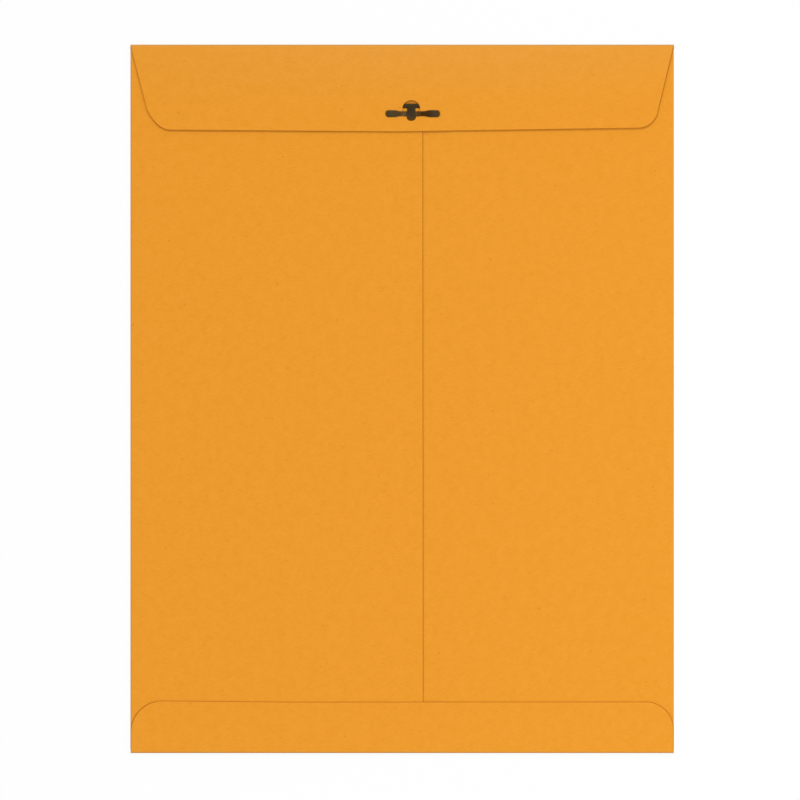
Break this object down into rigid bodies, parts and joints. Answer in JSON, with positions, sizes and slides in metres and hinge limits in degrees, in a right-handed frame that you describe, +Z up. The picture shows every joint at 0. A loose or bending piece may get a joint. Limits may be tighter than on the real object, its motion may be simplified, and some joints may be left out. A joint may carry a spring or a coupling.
{
  "type": "clasp envelope",
  "caption": "Flat kraft paper catalogue envelope with a hinged seal flap that closes over a metal clasp with fold-out prongs.",
  "frame": {"origin": "under the middle of the envelope, on the surface its front panel lies on", "axes": "+X across the envelope to the right as seen from the clasp side, +Y along it towards the seal flap's fold, +Z up out of the clasp side"},
  "size_m": [0.2538, 0.3308, 0.0026],
  "materials": {
    "kraft_paper": "golden brown kraft, matte",
    "seam_paste": "dried paste film",
    "dry_gum": "dry gum, slight sheen",
    "patch_paper": "plain kraft, matte",
    "plated_steel": "dark bronze-coloured plating, satin"
  },
  "bodies": {
    "pocket": {"front_panel": "kraft_paper", "left_side_fold": "kraft_paper", "right_side_fold": "kraft_paper", "bottom_fold": "kraft_paper", "flap_fold": "kraft_paper", "left_back_panel": "kraft_paper", "right_back_panel": "kraft_paper", "bottom_flap": "kraft_paper", "seam_glue": "seam_paste", "bottom_flap_glue": "seam_paste", "clasp_backing_patch": "patch_paper", "clasp_base": "plated_steel"},
    "flap": {"seal_flap": "kraft_paper", "flap_gum_left": "dry_gum", "flap_gum_right": "dry_gum", "flap_hole_patch": "patch_paper"},
    "prong_left": {"clasp_prong_left": "plated_steel"},
    "prong_right": {"clasp_prong_right": "plated_steel"}
  },
  "joints": [
    {"name": "flap_hinge", "type": "hinge", "parent": "pocket", "child": "flap", "pos_m": [0, 0.16542, 0.00111], "axis": [-1, 0, 0], "range_deg": [0, 180], "deforming": ["flap_fold"]},
    {"name": "prong_bend_left", "type": "hinge", "parent": "pocket", "child": "prong_left", "pos_m": [0.002, 0.13312, 0.00175], "axis": [0, 1, 0], "range_deg": [0, 90]},
    {"name": "prong_bend_right", "type": "hinge", "parent": "pocket", "child": "prong_right", "pos_m": [0.0065, 0.13312, 0.00175], "axis": [0, -1, 0], "range_deg": [0, 90]}
  ]
}
